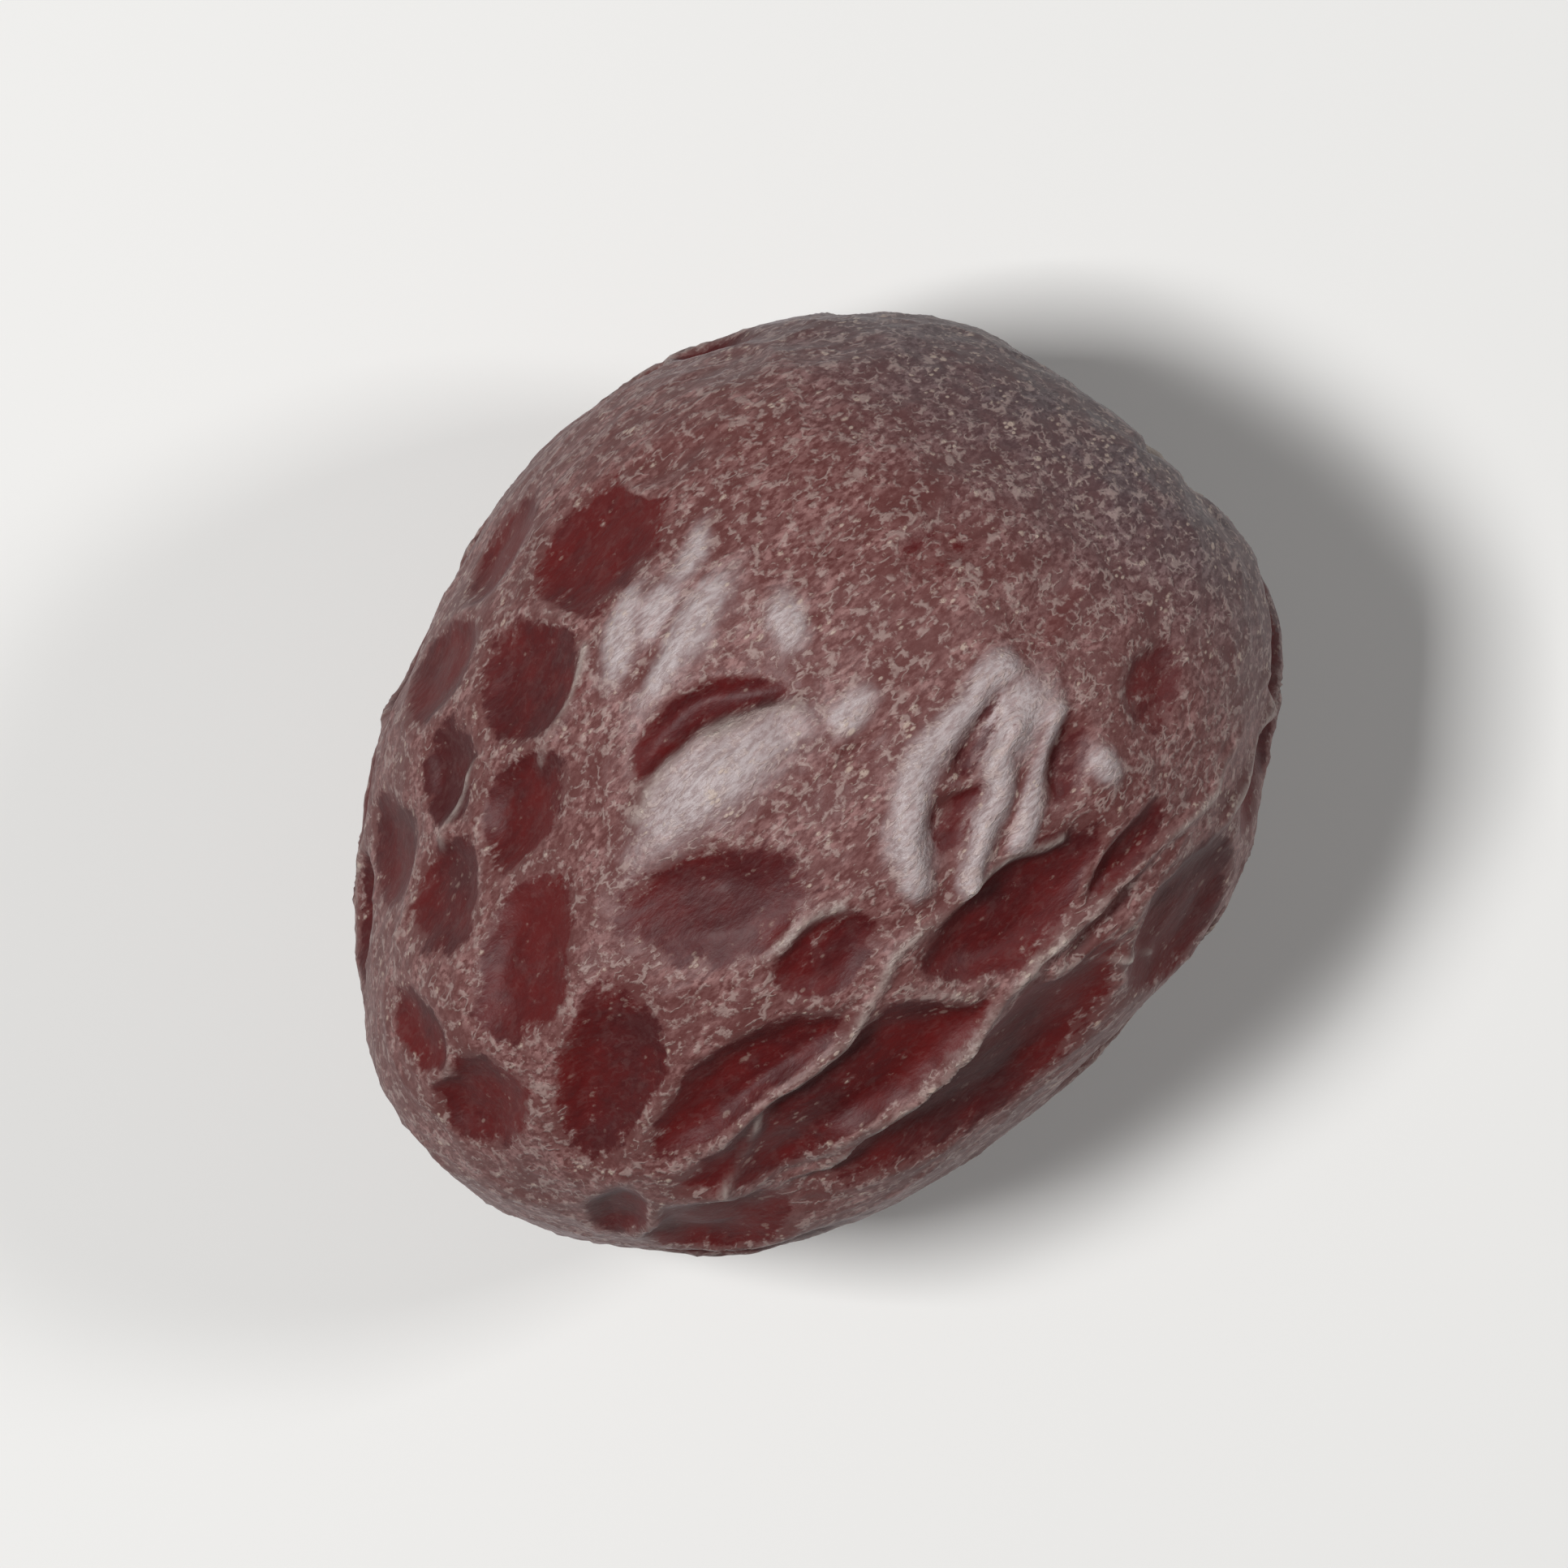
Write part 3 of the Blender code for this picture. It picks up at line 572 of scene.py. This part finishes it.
def fruit_surface(directions):
    """The finished surface in the given directions, and the shares that its material reads."""
    points = body_points(directions)
    normals = body_normals(points)
    crooked = wandered(points)
    wrinkles, red, cell_line = cell_relief(crooked, drawn_spots(TOP_CELLS) + scattered_cells())
    folds, on_fold = fold_relief(crooked, drawn_spots(TOP_FOLDS))
    crests, on_crest = crest_relief(crooked, TOP_CRESTS)
    ridges, on_ridge = crest_relief(crooked, TOP_RIDGES)
    # How far a point is up on a fold or a ridge, where the material paints a whitish highlight
    pale = np.maximum(on_fold, on_ridge)
    calm = (1 - FLOOR_CALM * red) * (1 - RIDGE_CALM * pale)
    wrinkles += folds + crests + ridges + ripple_relief(crooked) * calm
    from_foot = np.linalg.norm(points - (0, 0, -HALF_HEIGHT), axis=1)
    wrinkled = smooth_step(*SMOOTH_FOOT, from_foot)
    half_length = points[:, 0].max()
    at_stem = smooth_step(*END_FADE, points[:, 0] / half_length)
    at_tip = smooth_step(*END_FADE, -points[:, 0] / half_length)
    stem, stem_shares = stem_end(points)
    tip, style = tip_end(points)
    finished = points + normals * (wrinkles * wrinkled + broad_relief(points))[:, None]
    finished[:, 0] += at_stem * stem + at_tip * tip
    middle = (finished.min(axis=0) + finished.max(axis=0)) / 2
    finished -= (middle[0], middle[1], finished[:, 2].min() + FLAT_DEPTH)
    press_foot(finished)
    shares = {name: at_stem * share for name, share in stem_shares.items()}
    shares["red"] = red * wrinkled * (1 - pale)
    shares["line"] = np.maximum(CELL_LINE * cell_line, on_crest ** CREST_LINE) * wrinkled
    # The share that carries the painted highlight on the folds and ridges
    shares["pale"] = pale
    shares["style"] = at_tip * style
    shares["grey"] = smooth_step(*GREY_CAP, crooked[:, 0] + CAP_LEAN * crooked[:, 1])
    return finished, shares


def ball_mesh():
    """A cube cut into even squares, ready to be blown up into a ball."""
    ball = bmesh.new()
    bmesh.ops.create_cube(ball, size=2)
    bmesh.ops.subdivide_edges(ball, edges=ball.edges[:], cuts=SQUARES - 1, use_grid_fill=True)
    mesh = bpy.data.meshes.new("jujube_skin")
    ball.to_mesh(mesh)
    ball.free()
    return mesh


def make_fruit():
    """The fine fruit with its shape and the shares that its material reads."""
    mesh = ball_mesh()
    corners = np.empty(len(mesh.vertices) * 3)
    mesh.vertices.foreach_get("co", corners)
    evened = np.tan(corners.reshape(-1, 3) * math.pi / 4)
    surface, shares = fruit_surface(unit(evened))
    mesh.vertices.foreach_set("co", surface.ravel())
    for name, share in shares.items():
        mesh.attributes.new(name, "FLOAT", "POINT").data.foreach_set("value", share)
    mesh.update()
    mesh.shade_smooth()
    fruit = bpy.data.objects.new("jujube_skin", mesh)
    bpy.context.scene.collection.objects.link(fruit)
    return fruit


class Nodes:
    """Short ways to add shader nodes to one material."""

    def __init__(self, material):
        self.tree = material.node_tree

    def add(self, kind, settings=(), **inputs):
        """Adds a node, sets its properties and its input sockets, and links those given sockets."""
        node = self.tree.nodes.new(kind)
        for name, value in dict(settings).items():
            setattr(node, name, value)
        for name, value in inputs.items():
            self.put(node.inputs[name.replace("_", " ")], value)
        return node

    def put(self, socket, value):
        """Links a socket from another or sets its value."""
        if isinstance(value, bpy.types.NodeSocket):
            self.tree.links.new(value, socket)
        else:
            socket.default_value = value

    def share(self, name):
        """One of the shares that the mesh carries."""
        settings = {"attribute_type": "GEOMETRY", "attribute_name": name}
        return self.add("ShaderNodeAttribute", settings).outputs["Fac"]

    def math(self, operation, first, second=0.0, limit=False):
        """One sum of two numbers."""
        node = self.add("ShaderNodeMath", {"operation": operation, "use_clamp": limit})
        self.put(node.inputs[0], first)
        self.put(node.inputs[1], second)
        return node.outputs[0]

    def plus(self, first, second):
        return self.math("ADD", first, second)

    def minus(self, first, second):
        return self.math("SUBTRACT", first, second)

    def times(self, first, second):
        return self.math("MULTIPLY", first, second)

    def larger(self, first, second):
        return self.math("MAXIMUM", first, second)

    def fade(self, value, low, high):
        """0 below low and 1 above high, smooth between."""
        node = self.add("ShaderNodeMapRange", {"interpolation_type": "SMOOTHSTEP"}, Value=value)
        node.inputs["From Min"].default_value = low
        node.inputs["From Max"].default_value = high
        return node.outputs["Result"]

    def weighed(self, values, weights):
        """The sum of named values, each times its weight."""
        total = 0.0
        for name, weight in weights.items():
            total = self.plus(total, self.times(values[name], weight))
        return total

    def rise(self, values, rule):
        """A share from a rule: the weights of named values, and the sums where it is 0 and 1."""
        weights, edges = rule
        return self.fade(self.weighed(values, weights), *edges)

    def noise(self, where, size, detail, roughness):
        """Smooth noise with spots of about this size in metres."""
        node = self.add("ShaderNodeTexNoise", Vector=where, Scale=1 / size, Detail=detail)
        node.inputs["Roughness"].default_value = roughness
        return node.outputs["Fac"]

    def worms(self, where, size, width):
        """Thin crooked lines with about this size between them, and a width in shares of it."""
        field = self.noise(where, size, *WISP_DETAIL)
        off = self.math("ABSOLUTE", self.minus(field, 0.5))
        return self.minus(1.0, self.fade(off, 0.2 * width, width))

    def dots(self, where, size, radius):
        """Small spots with about this size between them, and a radius in shares of it."""
        cells = self.add("ShaderNodeTexVoronoi", Vector=where, Scale=1 / size, Randomness=1.0)
        return self.minus(1.0, self.fade(cells.outputs["Distance"], 0.5 * radius, radius))

    def blend(self, share, first, second):
        """A colour between two."""
        node = self.add("ShaderNodeMix", {"data_type": "RGBA"})
        self.put(node.inputs["Factor"], share)
        self.put(node.inputs[6], first)
        self.put(node.inputs[7], second)
        return node.outputs[2]

    def squeezed(self, where, factor):
        """Coordinates scaled along X."""
        node = self.add("ShaderNodeMapping", Vector=where)
        node.inputs["Scale"].default_value = (factor, 1.0, 1.0)
        return node.outputs["Vector"]


def skin_values(nodes):
    """The noises and the mesh's shares that the skin is made from, by name."""
    where = nodes.add("ShaderNodeTexCoord").outputs["Object"]
    values = {
        name: nodes.noise(nodes.squeezed(where, squeeze), *numbers)
        for name, (squeeze, *numbers) in NOISES.items()
    }
    for name in ("red", "pale", "grey", "line", "ring", "scar", "stub", "style"):
        values[name] = nodes.share(name)
    values["where"] = nodes.squeezed(where, DRAWN_OUT)
    return values


def floor_colour(nodes, values, clean):
    """The skin below the bloom: deep red on clean floors, and duller and greyer elsewhere."""
    floors = nodes.blend(nodes.rise(values, MOTTLES), FLOOR_BRIGHT, FLOOR_DARK)
    skin = nodes.blend(values["grey"], SKIN_RED, SKIN_GREY)
    return nodes.blend(clean, skin, floors)


def with_bloom(nodes, values, colour, kept):
    """The colour under the bloom, which is thinner in patches and greyer towards the stem end."""
    greyness = nodes.times(values["grey"], nodes.rise(values, GREY_PATCHES))
    bloom = nodes.blend(greyness, BLOOM_PINK, BLOOM_GREY)
    cover = nodes.times(nodes.rise(values, BLOOM_PATCHES), nodes.rise(values, BLOOM_GRAIN))
    cover = nodes.times(cover, nodes.plus(BLOOM_UNTORN, nodes.rise(values, BLOOM_TEARS)))
    cover = nodes.plus(nodes.times(cover, BLOOM_MORE), BLOOM_LEAST)
    cover = nodes.math("ADD", cover, nodes.times(values["grey"], BLOOM_ON_GREY), limit=True)
    return nodes.blend(nodes.times(cover, kept), colour, bloom)


def with_pale_folds(nodes, values, colour, pale, kept):
    """The colour with the folds and ridges, painted whitish as a highlight over the pale bloom and
    felted with fine fibres.
    """
    felt = nodes.plus(PALE_HIGHLIGHT_LEAST, nodes.times(nodes.rise(values, FELT), PALE_HIGHLIGHT_MORE))
    return nodes.blend(nodes.times(nodes.times(pale, kept), felt), colour, PALE_HIGHLIGHT_COLOUR)


def wisp_share(nodes, values, kept):
    """Fine crooked wisps in the bloom, broken up into short pieces."""
    wisps = nodes.larger(*[nodes.worms(values["where"], *numbers) for numbers in WISPS])
    return nodes.times(nodes.times(wisps, nodes.rise(values, WISP_BREAKS)), kept)


def fleck_share(nodes, values, kept):
    """Small flecks, thickest on the crests and towards the stem end, and fewer on clean floors."""
    dots = nodes.larger(*[nodes.dots(values["where"], *numbers) for numbers in FLECKS])
    most = nodes.plus(nodes.times(kept, 1 - FLECKS_ON_FLOORS), FLECKS_ON_FLOORS)
    return nodes.times(dots, nodes.times(nodes.rise(values, FLECK_CROWDS), most))


def with_ends(nodes, values, colour):
    """The colour with the stem scar, its ring and its stub, and the tip of the style."""
    colour = nodes.blend(values["scar"], colour, SCAR_COLOUR)
    colour = nodes.blend(nodes.times(values["ring"], RING_STRENGTH), colour, RING_COLOUR)
    colour = nodes.blend(values["stub"], colour, STUB_COLOUR)
    return nodes.blend(values["style"], colour, STYLE_COLOUR)


def skin_material():
    """Dark red skin, dusted with a pale bloom that the sunken floors have lost, with a painted
    highlight on the folds and ridges.
    """
    material = bpy.data.materials.new("jujube_skin")
    material.use_nodes = True
    nodes = Nodes(material)
    shader = material.node_tree.nodes["Principled BSDF"]
    values = skin_values(nodes)
    clean = nodes.rise(values, CLEAN)
    # Where the painted highlight lies on the folds and ridges
    pale = nodes.rise(values, PALE_HIGHLIGHT)
    kept = nodes.minus(1.0, nodes.times(clean, FLOOR_LOSS))
    values["wisps"] = wisp_share(nodes, values, kept)
    values["flecks"] = fleck_share(nodes, values, kept)
    values["furrows"] = nodes.times(values["fibres"], pale)

    colour = floor_colour(nodes, values, clean)
    colour = with_bloom(nodes, values, colour, kept)
    # The folds and ridges get their painted highlight
    colour = with_pale_folds(nodes, values, colour, pale, kept)
    colour = nodes.blend(nodes.times(values["wisps"], WISP_STRENGTH), colour, WISP_COLOUR)
    colour = nodes.blend(nodes.times(values["flecks"], FLECK_STRENGTH), colour, FLECK_COLOUR)
    lines = nodes.times(values["line"], nodes.rise(values, LINE_GRAIN))
    colour = nodes.blend(nodes.times(lines, LINE_STRENGTH), colour, LINE_COLOUR)
    nodes.put(shader.inputs["Base Color"], with_ends(nodes, values, colour))

    rougher = nodes.plus(SKIN_ROUGHNESS, nodes.times(clean, FLOOR_ROUGHER))
    nodes.put(shader.inputs["Roughness"], nodes.minus(rougher, nodes.times(pale, PALE_SMOOTHER)))
    height = nodes.weighed(values, FINE_HEIGHTS)
    bump = nodes.add("ShaderNodeBump", Height=height, Strength=1.0, Distance=1.0)
    nodes.put(shader.inputs["Normal"], bump.outputs["Normal"])
    shader.inputs["Specular IOR Level"].default_value = SPECULAR
    sheen_weight, sheen_roughness, sheen_tint = SHEEN
    shader.inputs["Sheen Weight"].default_value = sheen_weight
    shader.inputs["Sheen Roughness"].default_value = sheen_roughness
    shader.inputs["Sheen Tint"].default_value = sheen_tint
    return material


def plain_material(name, colour, roughness):
    """One even colour, for what isn't part of the fruit."""
    material = bpy.data.materials.new(name)
    material.use_nodes = True
    shader = material.node_tree.nodes["Principled BSDF"]
    shader.inputs["Base Color"].default_value = colour
    shader.inputs["Roughness"].default_value = roughness
    return material


def make_floor():
    """A wide pale floor."""
    mesh = bpy.data.meshes.new("floor")
    half = GROUND_HALF
    corners = [(-half, -half, 0), (half, -half, 0), (half, half, 0), (-half, half, 0)]
    mesh.from_pydata(corners, [], [(0, 1, 2, 3)])
    mesh.materials.append(plain_material("floor", GROUND_COLOUR, GROUND_ROUGHNESS))
    floor = bpy.data.objects.new("floor", mesh)
    bpy.context.scene.collection.objects.link(floor)
    return floor


def picture_direction(turn, tilt):
    """The direction at a turn from the picture's right and a tilt from straight up, in degrees."""
    angle = math.radians(turn + CAMERA_TURN)
    lean = math.radians(tilt)
    sideways = Vector((math.cos(angle), math.sin(angle), 0))
    return sideways * math.sin(lean) + Vector((0, 0, math.cos(lean)))


def make_light(name, turn, tilt, distance, size, power, target):
    """A soft square light that points at the target."""
    light = bpy.data.lights.new(name, "AREA")
    light.size = size
    light.energy = power
    lamp = bpy.data.objects.new(name, light)
    back = picture_direction(turn, tilt)
    lamp.location = target + back * distance
    lamp.rotation_euler = back.to_track_quat("Z", "Y").to_euler()
    bpy.context.scene.collection.objects.link(lamp)


def make_surround():
    """An even soft white light from all round."""
    world = bpy.data.worlds.new("surround")
    bpy.context.scene.world = world
    world.use_nodes = True
    background = world.node_tree.nodes["Background"]
    background.inputs["Color"].default_value = (1, 1, 1, 1)
    background.inputs["Strength"].default_value = SURROUND


def make_camera(target):
    """The camera straight above the fruit."""
    lens = bpy.data.cameras.new("camera")
    lens.lens = SENSOR * CAMERA_HEIGHT / FRAME_WIDTH
    lens.sensor_width = SENSOR
    lens.clip_start = 0.01
    camera = bpy.data.objects.new("camera", lens)
    camera.location = target + Vector((0, 0, CAMERA_HEIGHT))
    camera.rotation_euler = (0, 0, math.radians(CAMERA_TURN))
    bpy.context.scene.collection.objects.link(camera)
    bpy.context.scene.camera = camera


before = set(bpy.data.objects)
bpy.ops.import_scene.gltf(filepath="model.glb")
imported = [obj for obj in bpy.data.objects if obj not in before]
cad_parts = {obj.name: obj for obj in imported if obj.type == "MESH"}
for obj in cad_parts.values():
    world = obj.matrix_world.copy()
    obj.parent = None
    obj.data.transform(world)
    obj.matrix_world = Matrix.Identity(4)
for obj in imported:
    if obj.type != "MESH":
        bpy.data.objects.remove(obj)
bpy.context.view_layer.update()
low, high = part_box("jujube")
middle = (Vector(low) + Vector(high)) / 2

fruit = make_fruit()
fruit.data.materials.append(skin_material())
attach(fruit, "root")
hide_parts("jujube")
make_floor()

make_surround()
for light_name, numbers in LIGHTS.items():
    make_light(light_name, *numbers, middle)
make_camera(middle)
bpy.context.scene.view_settings.view_transform = "Standard"
